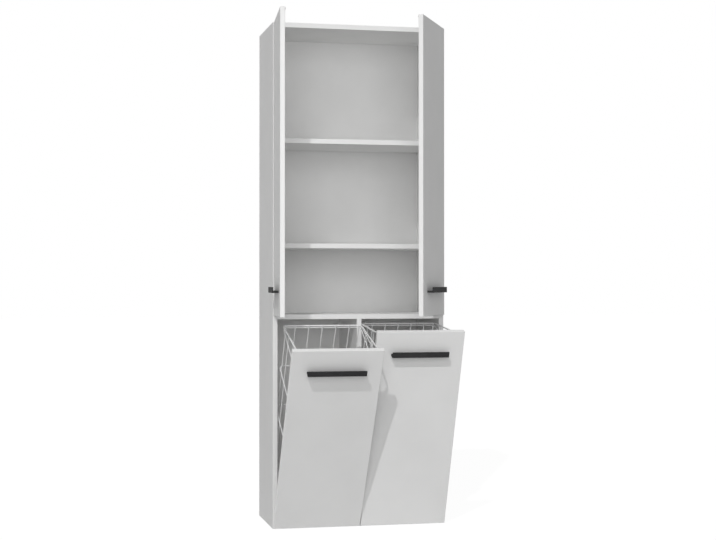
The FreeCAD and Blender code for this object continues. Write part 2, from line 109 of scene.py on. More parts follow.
def relief(finish, pattern, strength, depth):
    """Fine bumps that follow a pattern."""
    tree = finish.node_tree
    bump = tree.nodes.new("ShaderNodeBump")
    bump.inputs["Strength"].default_value = strength
    bump.inputs["Distance"].default_value = depth
    tree.links.new(pattern, bump.inputs["Height"])
    tree.links.new(bump.outputs["Normal"], tree.nodes["Principled BSDF"].inputs["Normal"])


def only(piece):
    """Select one piece and nothing else."""
    bpy.ops.object.select_all(action="DESELECT")
    piece.select_set(True)
    bpy.context.view_layer.objects.active = piece


def apply_modifier(piece, kind, **settings):
    """Add a modifier with its settings and apply it at once."""
    only(piece)
    modifier = piece.modifiers.new(kind.title(), kind)
    for key, value in settings.items():
        setattr(modifier, key, value)
    bpy.ops.object.modifier_apply(modifier=modifier.name)


def even_shading(piece, degrees=40):
    """Smooth over eased edges while the flats stay flat."""
    only(piece)
    bpy.ops.object.shade_smooth_by_angle(angle=math.radians(degrees))
    apply_modifier(piece, "WEIGHTED_NORMAL", keep_sharp=True)


def ease_edges(piece, width, segments=2, sharper_than=25):
    """Round every sharp edge of a piece a little."""
    only(piece)
    bpy.ops.object.mode_set(mode="EDIT")
    bpy.ops.mesh.select_mode(type="EDGE")
    bpy.ops.mesh.select_all(action="DESELECT")
    bpy.ops.mesh.edges_select_sharp(sharpness=math.radians(sharper_than))
    bpy.ops.mesh.bevel(offset=width, segments=segments, affect="EDGES", clamp_overlap=True, loop_slide=False)
    bpy.ops.object.mode_set(mode="OBJECT")
    even_shading(piece)


def eased_copy(node, name, width, segments=2):
    """The CAD piece again, its triangles merged into whole faces and its sharp edges eased."""
    piece = bpy.data.objects.new(name, frame["nodes"][node].data.copy())
    bpy.context.scene.collection.objects.link(piece)
    piece.data.materials.clear()
    only(piece)
    bpy.ops.mesh.customdata_custom_splitnormals_clear()
    bpy.ops.object.mode_set(mode="EDIT")
    bpy.ops.mesh.select_all(action="SELECT")
    bpy.ops.mesh.remove_doubles(threshold=MERGE_WITHIN)
    bpy.ops.mesh.dissolve_limited(angle_limit=math.radians(FLAT_DEGREES))
    bpy.ops.object.mode_set(mode="OBJECT")
    ease_edges(piece, width, segments)
    return piece


def coat(piece, finish, where=None):
    """Give a finish to the whole piece, or to the faces whose middle and normal pass a test."""
    piece.data.materials.append(finish)
    slot = len(piece.data.materials) - 1
    for face in piece.data.polygons:
        if where is None or where(face.center, face.normal):
            face.material_index = slot


def fit(piece, body, slot, *nodes):
    """Let a finished piece ride on its body, in place of CAD nodes where any are named."""
    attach(piece, body)
    if nodes:
        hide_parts(*nodes)


melamine = new_finish("white_melamine", colour=(0.885, 0.885, 0.88), roughness=0.6, specular=0.2)
tint(melamine, grain(melamine, scale=6, detail=4), dark=(0.87, 0.87, 0.865), light=(0.895, 0.895, 0.89))
gloss(melamine, grain(melamine, scale=60, detail=5), low=0.54, high=0.68)
relief(melamine, grain(melamine, scale=1100, detail=2), strength=0.12, depth=0.0002)

edge_band = new_finish("white_edge_band", colour=(0.915, 0.915, 0.91), roughness=0.34, specular=0.45)
tint(edge_band, grain(edge_band, scale=12), dark=(0.90, 0.90, 0.895), light=(0.925, 0.925, 0.92))
gloss(edge_band, grain(edge_band, scale=90, detail=4), low=0.28, high=0.42)
relief(edge_band, grain(edge_band, scale=700, detail=2), strength=0.08, depth=0.0001)

raw_chip = new_finish("raw_particleboard", colour=(0.45, 0.33, 0.21), roughness=0.85, specular=0.2)
tint(raw_chip, grain(raw_chip, scale=420, detail=6), dark=(0.27, 0.18, 0.10), light=(0.58, 0.44, 0.29))
relief(raw_chip, grain(raw_chip, scale=600, detail=5), strength=0.5, depth=0.0004)

carcass_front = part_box("side_left")[0].y
carcass_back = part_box("side_left")[1].y


def is_front_edge(middle, normal):
    return normal.y < -SQUARE_ON and middle.y < carcass_front + BAND_REACH


def is_raw_edge(middle, normal):
    rear = normal.y > SQUARE_ON and middle.y > carcass_back - BAND_REACH
    under = normal.z < -SQUARE_ON and middle.z < BAND_REACH
    return rear or under


for node in BOARDS:
    board = eased_copy(node, node + "_board", BOARD_ARRIS)
    coat(board, melamine)
    coat(board, edge_band, is_front_edge)
    coat(board, raw_chip, is_raw_edge)
    fit(board, "carcass", "melamine", node)


# Back panel: a sheet of thin hardboard, lacquered white inside and raw brown outside.
# It lies in a rebate of the sides and is nailed on round its edge.
SHEET_ARRIS = 0.0002
NAIL_RADIUS = 0.0022
NAIL_HEIGHT = 0.0007
NAIL_DOME = NAIL_HEIGHT * 0.4
NAIL_INSET = 0.006
NAIL_END = 0.012
NAIL_COLUMN = 13
NAIL_ROW = 5

back = eased_copy("back_panel", "back_panel_sheet", SHEET_ARRIS, segments=1)
white_lacquer = new_finish("white_lacquer", colour=(0.895, 0.895, 0.89), roughness=0.5, specular=0.35)
tint(white_lacquer, grain(white_lacquer, scale=8, detail=4),
     dark=(0.88, 0.88, 0.875), light=(0.905, 0.905, 0.90))
relief(white_lacquer, grain(white_lacquer, scale=500, detail=3), strength=0.1, depth=0.0002)
raw_hardboard = new_finish("raw_hardboard", colour=(0.24, 0.15, 0.085), roughness=0.75, specular=0.25)
tint(raw_hardboard, grain(raw_hardboard, scale=260, detail=6),
     dark=(0.19, 0.115, 0.062), light=(0.29, 0.185, 0.105))
relief(raw_hardboard, grain(raw_hardboard, scale=900, detail=3, stretch=(1, 1, 0.6)),
       strength=0.35, depth=0.0003)
coat(back, raw_hardboard)
coat(back, white_lacquer, lambda middle, normal: normal.y < -LEANING)
fit(back, "carcass", "hardboard", "back_panel")


def join_group(name, group):
    """Several pieces as one group of separate parts."""
    only(group[0])
    for piece in group:
        piece.select_set(True)
    bpy.ops.object.join()
    group[0].name = name
    return group[0]


def copies_at(pattern, name, places):
    """Copies of one modelled piece at a list of placements, joined as one group; the pattern is used up."""
    group = []
    for place in places:
        copy = bpy.data.objects.new(name, pattern.data.copy())
        bpy.context.scene.collection.objects.link(copy)
        copy.data.transform(place)
        if place.is_negative:
            copy.data.flip_normals()
        group.append(copy)
    bpy.data.objects.remove(pattern)
    return join_group(name, group)


def settle(piece):
    """Put a piece's place and size into its mesh, and its object at the origin."""
    only(piece)
    bpy.ops.object.transform_apply(location=True, rotation=True, scale=True)
    return piece


def new_drum(name, radius, depth, middle, along="Z", sides=24):
    """A cylinder at its place, lying along one axis."""
    turn = {"X": (0, math.pi / 2, 0), "Y": (math.pi / 2, 0, 0), "Z": (0, 0, 0)}[along]
    bpy.ops.object.select_all(action="DESELECT")
    bpy.ops.mesh.primitive_cylinder_add(vertices=sides, radius=radius, depth=depth,
                                        location=middle, rotation=turn)
    piece = bpy.context.object
    piece.name = name
    return settle(piece)


nail = new_drum("nail", NAIL_RADIUS, NAIL_HEIGHT, (0, NAIL_HEIGHT / 2, 0), along="Y", sides=12)
ease_edges(nail, NAIL_DOME)
sheet_low, sheet_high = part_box("back_panel")
nail_pitch = (sheet_high.z - sheet_low.z - NAIL_END * 2) / (NAIL_COLUMN - 1)
nail_spots = []
for step in range(NAIL_COLUMN):
    height = sheet_low.z + NAIL_END + step * nail_pitch
    nail_spots.append((sheet_low.x + NAIL_INSET, height))
    nail_spots.append((sheet_high.x - NAIL_INSET, height))
for step in range(1, NAIL_ROW + 1):
    across = sheet_low.x + step * (sheet_high.x - sheet_low.x) / (NAIL_ROW + 1)
    for board in ("bottom_panel", "middle_shelf", "top_panel"):
        board_low, board_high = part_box(board)
        nail_spots.append((across, (board_low.z + board_high.z) / 2))
nails = copies_at(nail, "back_panel_nails",
                  [Matrix.Translation((x, sheet_high.y, z)) for x, z in nail_spots])
bright_zinc = new_finish("bright_zinc", colour=(0.62, 0.62, 0.62), roughness=0.34, metallic=1.0)
tint(bright_zinc, grain(bright_zinc, scale=300, detail=4), dark=(0.54, 0.54, 0.545), light=(0.68, 0.68, 0.68))
gloss(bright_zinc, grain(bright_zinc, scale=700, detail=4), low=0.26, high=0.44)
coat(nails, bright_zinc)
fit(nails, "carcass", "fitting_zinc")


# Cam locks: zinc rounds let into the level boards near their ends, each with a white enamelled head and a
# cross recess. Turned with a screwdriver, each draws in a bolt that is screwed into the side.
CAM_RADIUS = 0.0074
CAM_RIM_RADIUS = 0.009
CAM_RIM_HEIGHT = 0.0004
CAM_HEIGHT = 0.0125
CAM_ARRIS = 0.00015
RECESS_ARM = 0.0036
RECESS_WIDTH = 0.0011
RECESS_DEPTH = 0.0014


def new_block(name, low, high):
    """A block between two corners."""
    low = Vector(low)
    high = Vector(high)
    bpy.ops.object.select_all(action="DESELECT")
    bpy.ops.mesh.primitive_cube_add(size=1, location=(low + high) / 2, scale=high - low)
    piece = bpy.context.object
    piece.name = name
    return settle(piece)


def join_solid(piece, tool):
    """Melt another solid into a piece."""
    apply_modifier(piece, "BOOLEAN", operation="UNION", object=tool, solver="EXACT")
    bpy.data.objects.remove(tool)


def cut_solid(piece, tool):
    """Take another solid out of a piece."""
    apply_modifier(piece, "BOOLEAN", operation="DIFFERENCE", object=tool, solver="EXACT")
    bpy.data.objects.remove(tool)


def cut_cross(piece, top, arm=RECESS_ARM, width=RECESS_WIDTH, depth=RECESS_DEPTH):
    """A cross recess for a screwdriver in a face that looks along Z."""
    for long, short in ((arm, width / 2), (width / 2, arm)):
        cut_solid(piece, new_block("recess", (-long, -short, top - depth), (long, short, top + depth)))


def solids_of(node, undo=Matrix.Identity(4)):
    """The boxes of a CAD node's separate solids, as lowest and highest corners."""
    group = bpy.data.objects.new(node + "_parts", frame["nodes"][node].data.copy())
    bpy.context.scene.collection.objects.link(group)
    group.data.transform(undo)
    only(group)
    bpy.ops.object.mode_set(mode="EDIT")
    bpy.ops.mesh.select_all(action="SELECT")
    bpy.ops.mesh.remove_doubles(threshold=MERGE_WITHIN)
    bpy.ops.mesh.separate(type="LOOSE")
    bpy.ops.object.mode_set(mode="OBJECT")
    boxes = []
    for part in list(bpy.context.selected_objects):
        places = [vertex.co for vertex in part.data.vertices]
        boxes.append((Vector(map(min, zip(*places))), Vector(map(max, zip(*places)))))
        bpy.data.objects.remove(part)
    return boxes


def middle_of(box):
    return (box[0] + box[1]) / 2


cam = new_drum("cam", CAM_RADIUS, CAM_HEIGHT, (0, 0, -CAM_HEIGHT / 2), sides=40)
join_solid(cam, new_drum("rim", CAM_RIM_RADIUS, CAM_RIM_HEIGHT, (0, 0, CAM_RIM_HEIGHT / 2), sides=40))
cut_cross(cam, CAM_RIM_HEIGHT)
ease_edges(cam, CAM_ARRIS)
die_cast = new_finish("zinc_die_cast", colour=(0.5, 0.5, 0.505), roughness=0.45, metallic=1.0)
tint(die_cast, grain(die_cast, scale=500, detail=4), dark=(0.42, 0.42, 0.425), light=(0.56, 0.56, 0.565))
gloss(die_cast, grain(die_cast, scale=900, detail=3), low=0.36, high=0.55)
white_enamel = new_finish("white_enamel", colour=(0.86, 0.86, 0.855), roughness=0.45, specular=0.35)
tint(white_enamel, grain(white_enamel, scale=200, detail=4),
     dark=(0.845, 0.845, 0.84), light=(0.87, 0.87, 0.865))
gloss(white_enamel, grain(white_enamel, scale=900, detail=3), low=0.38, high=0.54)
coat(cam, die_cast)
coat(cam, white_enamel, lambda middle, normal: middle.z > -CAM_RIM_HEIGHT)
cam_places = []
for low, high in solids_of("cam_locks"):
    faces_up = high.z < BOARD_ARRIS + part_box("bottom_panel")[1].z
    centre = middle_of((low, high))
    if faces_up:
        cam_places.append(Matrix.Translation((centre.x, centre.y, high.z)))
    else:
        cam_places.append(Matrix.Translation((centre.x, centre.y, low.z)) @ Matrix.Rotation(math.pi, 4, "X"))
cams = copies_at(cam, "cam_lock_rounds", cam_places)
fit(cams, "carcass", "fitting_zinc", "cam_locks")
frame["nodes"]["cam_bolts"].data.materials[0] = bright_zinc


# Dowels: beech pegs glued across the joints of the partition with the boards above and below it.
# They lie hidden in the boards, so the solids stay and take only the finish of the wood.
beech = new_finish("beech_peg", colour=(0.62, 0.45, 0.28), roughness=0.6, specular=0.3)
tint(beech, grain(beech, scale=300, detail=4, stretch=(1, 1, 0.08)),
     dark=(0.52, 0.36, 0.21), light=(0.68, 0.51, 0.33))
frame["nodes"]["partition_dowels"].data.materials[0] = beech


# Wall brackets: two galvanised steel angles on top at the back, each held by one pan-head screw.
# The hole in the upright leg takes the wall screw that keeps the cabinet from tipping.
BRACKET_ARRIS = 0.0003
BRACKET_SCREW_SHANK = 0.0118
SCREW_HEAD = 0.004
SCREW_HEAD_HEIGHT = 0.0022
SCREW_SHANK = 0.0019
SCREW_DOME = 0.6
CROSS_ARM = 0.55
CROSS_WIDTH = 0.22
CROSS_DEPTH = 0.55
LAP = 0.0001


def new_screw(name, shank, head=SCREW_HEAD, height=SCREW_HEAD_HEIGHT):
    """A pan-head screw with a cross recess, its head above the plane Z = 0 and its shank below."""
    screw = new_drum(name, head, height, (0, 0, height / 2), sides=32)
    bpy.ops.object.mode_set(mode="EDIT")
    bpy.ops.mesh.select_mode(type="EDGE")
    bpy.ops.mesh.select_all(action="DESELECT")
    bpy.ops.object.mode_set(mode="OBJECT")
    for edge in screw.data.edges:
        edge.select = all(screw.data.vertices[corner].co.z > height / 2 for corner in edge.vertices)
    bpy.ops.object.mode_set(mode="EDIT")
    bpy.ops.mesh.bevel(offset=height * SCREW_DOME, segments=4, affect="EDGES", clamp_overlap=True)
    bpy.ops.object.mode_set(mode="OBJECT")
    cut_cross(screw, height, head * CROSS_ARM, head * CROSS_WIDTH, height * CROSS_DEPTH)
    join_solid(screw, new_drum("shank", SCREW_SHANK, shank, (0, 0, LAP - shank / 2), sides=16))
    even_shading(screw, degrees=35)
    return screw


def facing(place, direction):
    """A placement at a point, with Z turned to a direction."""
    return Matrix.Translation(place) @ Vector(direction).to_track_quat("Z", "Y").to_matrix().to_4x4()


galvanised = new_finish("galvanised_steel", colour=(0.4, 0.41, 0.42), roughness=0.5, metallic=1.0)
tint(galvanised, grain(galvanised, scale=160, detail=5), dark=(0.33, 0.34, 0.35), light=(0.47, 0.48, 0.49))
gloss(galvanised, grain(galvanised, scale=260, detail=5), low=0.42, high=0.6)
brackets = eased_copy("wall_brackets", "wall_bracket_angles", BRACKET_ARRIS)
coat(brackets, galvanised)
fit(brackets, "carcass", "hinge_steel", "wall_brackets")
bracket_seats = []
for low, high in solids_of("bracket_screws"):
    centre = middle_of((low, high))
    bracket_seats.append(Matrix.Translation((centre.x, centre.y, high.z - SCREW_HEAD_HEIGHT)))
bracket_screws = copies_at(new_screw("screw", BRACKET_SCREW_SHANK), "bracket_pan_screws", bracket_seats)
coat(bracket_screws, bright_zinc)
fit(bracket_screws, "carcass", "fitting_zinc", "bracket_screws")


# Shelf pins: nickel-plated pegs with a thin collar, pushed into the sides.
# The two loose shelves lie on four of them each.
PIN_RADIUS = 0.0025
PIN_COLLAR_RADIUS = 0.0042
PIN_COLLAR_THICK = 0.0008
PIN_ARRIS = 0.0003

nickel = new_finish("nickel_plate", colour=(0.66, 0.65, 0.63), roughness=0.24, metallic=1.0)
tint(nickel, grain(nickel, scale=220, detail=4), dark=(0.6, 0.59, 0.57), light=(0.7, 0.69, 0.67))
gloss(nickel, grain(nickel, scale=500, detail=4), low=0.17, high=0.34)
pin_boxes = solids_of("shelf_pins")
pin_length = pin_boxes[0][1].x - pin_boxes[0][0].x
wall_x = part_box("side_right")[0].x
peg = new_drum("peg", PIN_RADIUS, pin_length, (0, 0, 0), along="X", sides=20)
peg_out = wall_x - min(low.x for low, high in pin_boxes if low.x > 0)
collar_at = pin_length / 2 - peg_out - PIN_COLLAR_THICK / 2
collar = new_drum("collar", PIN_COLLAR_RADIUS, PIN_COLLAR_THICK, (-collar_at, 0, 0), along="X", sides=28)
join_solid(peg, collar)
ease_edges(peg, PIN_ARRIS)
pegs = copies_at(peg, "shelf_pin_pegs",
                 [Matrix.Translation(middle_of(box)) @ Matrix.Rotation(math.pi if box[0].x < 0 else 0, 4, "Z")
                  for box in pin_boxes])
coat(pegs, nickel)
fit(pegs, "carcass", "fitting_zinc", "shelf_pins")


# Doors and hamper fronts: the same white board, banded on all four edges, swung open on their hinge pins.
# The cup pockets and the handle holes are milled and drilled in the inner face.
LEAF_ARRIS = 0.0004
LEAVES = {"left_door": "panel", "right_door": "panel", "left_hamper": "front", "right_hamper": "front"}
joints = {joint["child"]: joint for joint in frame["joints"]}


def opening_turn(leaf):
    """The turn about its pins that takes a leaf from shut to where it stands open."""
    joint = joints[leaf]
    pin = Matrix.Translation(joint["pos_m"])
    angle = math.radians(-joint["range_deg"][0])
    return pin @ Matrix.Rotation(angle, 4, Vector(joint["axis"])) @ pin.inverted()


def is_leaf_edge(leaf):
    shut = opening_turn(leaf).inverted().to_3x3()
    return lambda middle, normal: abs((shut @ normal).y) < LEANING


for leaf, board_name in LEAVES.items():
    node = leaf + "_" + board_name
    board = eased_copy(node, node + "_board", LEAF_ARRIS)
    coat(board, melamine)
    coat(board, edge_band, is_leaf_edge(leaf))
    fit(board, leaf, "melamine", node)


# Angle handles: black painted metal of L section, a face plate in front of the leaf on a web along its
# lower edge. Two pan-head screws from inside the leaf hold each one by its web.
HANDLE_ARRIS = 0.0004
HANDLE_SCREW_SHANK = 0.026

black_paint = new_finish("black_matt_paint", colour=(0.046, 0.046, 0.047), roughness=0.6, specular=0.03)
tint(black_paint, grain(black_paint, scale=40, detail=4),
     dark=(0.042, 0.042, 0.043), light=(0.05, 0.05, 0.051))
gloss(black_paint, grain(black_paint, scale=300, detail=4), low=0.54, high=0.68)
relief(black_paint, grain(black_paint, scale=2200, detail=2), strength=0.15, depth=0.0001)


def repeat(pattern, name, places):
    """Copies of a pattern that is kept for the next group."""
    again = pattern.copy()
    again.data = pattern.data.copy()
    bpy.context.scene.collection.objects.link(again)
    return copies_at(again, name, places)


screw_pattern = new_screw("screw", HANDLE_SCREW_SHANK)
for leaf in LEAVES:
    turn = opening_turn(leaf)
    handle = eased_copy(leaf + "_handle", leaf + "_angle_handle", HANDLE_ARRIS, segments=3)
    coat(handle, black_paint)
    fit(handle, leaf, "black_bar", leaf + "_handle")
    heads = []
    for low, high in solids_of(leaf + "_handle_screws", turn.inverted()):
        centre = middle_of((low, high))
        heads.append(turn @ facing((centre.x, high.y - SCREW_HEAD_HEIGHT, centre.z), (0, 1, 0)))
    screws = repeat(screw_pattern, leaf + "_pan_screws", heads)
    coat(screws, bright_zinc)
    fit(screws, leaf, "fitting_zinc", leaf + "_handle_screws")
bpy.data.objects.remove(screw_pattern)


# Bumper pads: clear silicone domes stuck to the inner face of each leaf at its free corners.
# They soften the closing and keep the leaf a little off the carcass.
PAD_RADIUS = 0.0036
PAD_DOME = 0.45
PAD_CLARITY = 0.4

silicone = new_finish("clear_silicone", colour=(0.75, 0.75, 0.74), roughness=0.3, specular=0.5)
silicone.node_tree.nodes["Principled BSDF"].inputs["Transmission Weight"].default_value = PAD_CLARITY
tint(silicone, grain(silicone, scale=250, detail=3), dark=(0.72, 0.72, 0.71), light=(0.78, 0.78, 0.77))
gloss(silicone, grain(silicone, scale=400, detail=3), low=0.22, high=0.36)
for leaf in LEAVES:
    turn = opening_turn(leaf)
    pad_places = []
    for low, high in solids_of(leaf + "_bumpers", turn.inverted()):
        centre = middle_of((low, high))
        pad_height = high.y - low.y
        pad_places.append(turn @ facing((centre.x, low.y, centre.z), (0, 1, 0)))
    pad = new_drum("pad", PAD_RADIUS, pad_height, (0, 0, pad_height / 2), sides=28)
    ease_edges(pad, pad_height * PAD_DOME, segments=4)
    pads = copies_at(pad, leaf + "_bumper_pads", pad_places)
    coat(pads, silicone)
    fit(pads, leaf, "pad", leaf + "_bumpers")


# Cup hinges: nickel-plated pressed steel. Each leaf has two cups in its pockets, and the arms
# stay on mounting plates that are screwed to the carcass; a pin in the cup carries the arm's knuckle.
PIN_IN = 0.007
PIN_DEEP = 0.0095
CUP_RADIUS = 0.0175
CUP_WALL = 0.0009
CUP_FLOOR_THICK = 0.0005
CUP_MIDDLE = 0.0133
CUP_FLOOR_Y = -0.0039
CUP_ARRIS = 0.00018
CUP_SIDES = 56
CUP_SLOT_HALF = 0.007
SLOT_INSET = 0.0028
HOLLOW_REACH = 0.03
MOUTH_REACH = 0.01
FLANGE_THICK = 0.0012
LUG_LOW = 0.0138
LUG_HIGH = 0.0248
LUG_HALF = 0.03
LUG_ROUND = 0.005
LUG_SCREW = 0.024
EAR_REACH = 0.0033
ARM_TOP = 0.0145
ARM_SCREWS = (0.041, 0.064)
WING_SCREW = 0.0165
WING_Y = 0.049
WING_THICK = 0.002
PRESSED_ARRIS = 0.0003


def new_cup():
    """The pressed cup with its flange about the pin: X into the leaf, Y to the wall, Z along the pin."""
    top = PIN_DEEP + FLANGE_THICK
    lugs = new_block("lugs", (LUG_LOW, PIN_DEEP, -LUG_HALF), (LUG_HIGH, top, LUG_HALF))
    for edge in lugs.data.edges:
        ends = [lugs.data.vertices[corner].co for corner in edge.vertices]
        edge.select = abs(ends[0].y - ends[1].y) > FLANGE_THICK / 2
    bpy.ops.object.mode_set(mode="EDIT")
    bpy.ops.mesh.bevel(offset=LUG_ROUND, segments=6, affect="EDGES", clamp_overlap=True)
    bpy.ops.object.mode_set(mode="OBJECT")
    cup_centre = (CUP_MIDDLE, (top + CUP_FLOOR_Y) / 2, 0)
    cup = new_drum("cup", CUP_RADIUS, top - CUP_FLOOR_Y, cup_centre, along="Y", sides=CUP_SIDES)
    slot_wall = CUP_SLOT_HALF + CUP_WALL
    slot_mouth = (SLOT_INSET - PIN_IN, CUP_FLOOR_Y, -slot_wall)
    join_solid(cup, new_block("slot", slot_mouth, (CUP_MIDDLE, PIN_DEEP, slot_wall)))
    join_solid(cup, lugs)
    floor_y = CUP_FLOOR_Y + CUP_FLOOR_THICK
    hollow_centre = (CUP_MIDDLE, floor_y + HOLLOW_REACH / 2, 0)
    hollow = new_drum("hollow", CUP_RADIUS - CUP_WALL, HOLLOW_REACH, hollow_centre,
                      along="Y", sides=CUP_SIDES)
    slot_low = (SLOT_INSET + CUP_WALL - PIN_IN, floor_y, -CUP_SLOT_HALF)
    join_solid(hollow, new_block("slot", slot_low, (CUP_MIDDLE, floor_y + HOLLOW_REACH, CUP_SLOT_HALF)))
    cut_solid(cup, hollow)
    mouth_low = (-MOUTH_REACH, PIN_DEEP, -CUP_SLOT_HALF)
    cut_solid(cup, new_block("mouth", mouth_low, (0, top + MOUTH_REACH, CUP_SLOT_HALF)))
    for side in (-1, 1):
        ear_z = sorted((side * CUP_SLOT_HALF, side * (slot_wall - LAP)))
        join_solid(cup, new_block("ear", (slot_low[0], floor_y, ear_z[0]), (EAR_REACH, EAR_REACH, ear_z[1])))
    ease_edges(cup, CUP_ARRIS, sharper_than=35)
    return cup


def hinge_places(leaf):
    """Where the pins of a leaf's hinges are while it is shut, as placements of the pin's own frame."""
    if leaf == "left_door":
        lie = Matrix.Identity(4)
    elif leaf == "right_door":
        lie = Matrix.Rotation(math.pi, 4, "Y")
    else:
        lie = Matrix.Rotation(-math.pi / 2, 4, "Y")
    pins = solids_of(leaf + "_hinge_pins", opening_turn(leaf).inverted())
    return [Matrix.Translation(middle_of(box)) @ lie for box in pins]


cup_pattern = new_cup()
flange_screw = new_screw("flange_screw", shank=0.008, head=0.0034, height=0.0014)
arm_screw = new_screw("arm_screw", shank=0.003, head=0.003, height=0.0012)
for leaf in LEAVES:
    turn = opening_turn(leaf)
    places = hinge_places(leaf)
    cups = repeat(cup_pattern, leaf + "_pressed_cups", [turn @ place for place in places])
    coat(cups, nickel)
    fit(cups, leaf, "hinge_steel", leaf + "_hinge_cups")
    frame["nodes"][leaf + "_hinge_pins"].data.materials[0] = nickel
    lug_x = (LUG_LOW + LUG_HIGH) / 2
    lug_y = PIN_DEEP + FLANGE_THICK
    lug_seats = [turn @ place @ facing((lug_x, lug_y, side * LUG_SCREW), (0, 1, 0))
                 for place in places for side in (-1, 1)]
    lug_screws = repeat(flange_screw, leaf + "_cup_screws", lug_seats)
    coat(lug_screws, bright_zinc)
    fit(lug_screws, leaf, "fitting_zinc")
    for group in ("hinge_arms", "hinge_plates"):
        node = leaf + "_" + group
        pressed = eased_copy(node, leaf + "_pressed_" + group, PRESSED_ARRIS)
        coat(pressed, nickel)
        fit(pressed, "carcass", "hinge_steel", node)
    arm_seats = [place @ facing((ARM_TOP, y, 0), (1, 0, 0)) for place in places for y in ARM_SCREWS]
    arm_screws = repeat(arm_screw, leaf + "_arm_screws", arm_seats)
    coat(arm_screws, bright_zinc)
    fit(arm_screws, "carcass", "fitting_zinc")
    plate_boxes = solids_of(leaf + "_hinge_plates")
    plate_base = min((places[0].inverted() @ corner).x for box in plate_boxes for corner in box)
    wing_seats = [place @ facing((plate_base + WING_THICK, WING_Y, side * WING_SCREW), (1, 0, 0))
                  for place in places for side in (-1, 1)]
    wing_screws = repeat(flange_screw, leaf + "_plate_screws", wing_seats)
    coat(wing_screws, bright_zinc)
    fit(wing_screws, "carcass", "fitting_zinc")
for pattern in (cup_pattern, flange_screw, arm_screw):
    bpy.data.objects.remove(pattern)


# Wire baskets: round steel wire, bent on a former, spot-welded at every crossing and coated white.
# Uprights run down one wall, under the floor and up the other; hoops lie outside them, and a thicker
# rim that is higher at the front closes the top.
WIRE = 0.003
RIM_WIRE = 0.005
COAT_THICK = 0.00025
HOOP_BEND = 0.018
UPRIGHT_BEND = 0.02
UPRIGHT_PITCH = 0.046
UPRIGHT_STEPS = range(-2, 3)
SIDE_UPRIGHTS = (0.087, 0.175)
RIM_HALF_RISE = 0.0028
WIRE_SIDES = 12
WIRE_SMOOTH_DEGREES = 50
WIRE_MERGE = 0.00002
BEND_STEPS = 7
WELD_RADIUS = 0.0017
WELD_FLAT = 0.85


def bend_wire(name, stops, bend, thick, closed=False):
    """Round wire with its coat, pulled from stop to stop and bent round a former at each corner."""
    corners = list(stops)
    if closed:
        start = (corners[0] + corners[-1]) / 2
        corners = [start] + corners + [start]
    along = (corners[1] - corners[0]).normalized()
    bpy.ops.object.select_all(action="DESELECT")
    bpy.ops.mesh.primitive_circle_add(vertices=WIRE_SIDES, radius=thick / 2 + COAT_THICK, location=corners[0],
                                      rotation=along.to_track_quat("Z", "Y").to_euler(),
                                      fill_type="NOTHING" if closed else "NGON")
    wire = bpy.context.object
    wire.name = name
    settle(wire)
    here = corners[0]
    bpy.ops.object.mode_set(mode="EDIT")
    bpy.ops.mesh.select_all(action="SELECT")
    for corner, after in zip(corners[1:-1], corners[2:]):
        next_along = (after - corner).normalized()
        axis = along.cross(next_along)
        bpy.ops.mesh.extrude_region_move(TRANSFORM_OT_translate={"value": corner - along * bend - here})
        bpy.ops.mesh.spin(steps=BEND_STEPS, angle=-math.pi / 2, axis=axis,
                          center=corner - along * bend + next_along * bend)
        here = corner + next_along * bend
        along = next_along
    bpy.ops.mesh.extrude_region_move(TRANSFORM_OT_translate={"value": corners[-1] - here})
    bpy.ops.mesh.select_all(action="SELECT")
    bpy.ops.mesh.remove_doubles(threshold=WIRE_MERGE)
    bpy.ops.mesh.normals_make_consistent(inside=False)
    bpy.ops.object.mode_set(mode="OBJECT")
    bpy.ops.object.shade_smooth_by_angle(angle=math.radians(WIRE_SMOOTH_DEGREES))
    return wire


shut_left = opening_turn("left_hamper").inverted()
hoop_boxes = sorted(solids_of("left_hamper_basket_hoops", shut_left), key=lambda box: box[0].z)
hoop_low, hoop_high = hoop_boxes[0]
basket_left = hoop_low.x + WIRE / 2
basket_right = hoop_high.x - WIRE / 2
basket_front = hoop_low.y + WIRE / 2
basket_back = hoop_high.y - WIRE / 2
basket_middle = (basket_left + basket_right) / 2
hoop_heights = [middle_of(box).z for box in hoop_boxes]
rim_low, rim_high = solids_of("left_hamper_basket_rim", shut_left)[0]
floor_wire = min(low.z for low, high in solids_of("left_hamper_basket_uprights", shut_left)) + WIRE / 2 + WIRE
rim_grow = (RIM_WIRE - WIRE) / 2
rim_front = basket_front - rim_grow
rim_back = basket_back + rim_grow


def rim_height(y):
    """Height of the sloping rim's middle line."""
    share = (y - rim_front) / (rim_back - rim_front)
    return rim_high.z - RIM_HALF_RISE - share * (rim_high.z - rim_low.z - 2 * RIM_HALF_RISE)


hoop_plan = ((basket_left, basket_front), (basket_right, basket_front),
             (basket_right, basket_back), (basket_left, basket_back))
hoops = []
for height in hoop_heights:
    corners = [Vector((x, y, height)) for x, y in hoop_plan]
    hoops.append(bend_wire("hoop", corners, HOOP_BEND, WIRE, closed=True))
rim_plan = ((basket_left - rim_grow, rim_front), (basket_right + rim_grow, rim_front),
            (basket_right + rim_grow, rim_back), (basket_left - rim_grow, rim_back))
rim_corners = [Vector((x, y, rim_height(y))) for x, y in rim_plan]
rim = bend_wire("rim", rim_corners, HOOP_BEND + rim_grow, RIM_WIRE, closed=True)

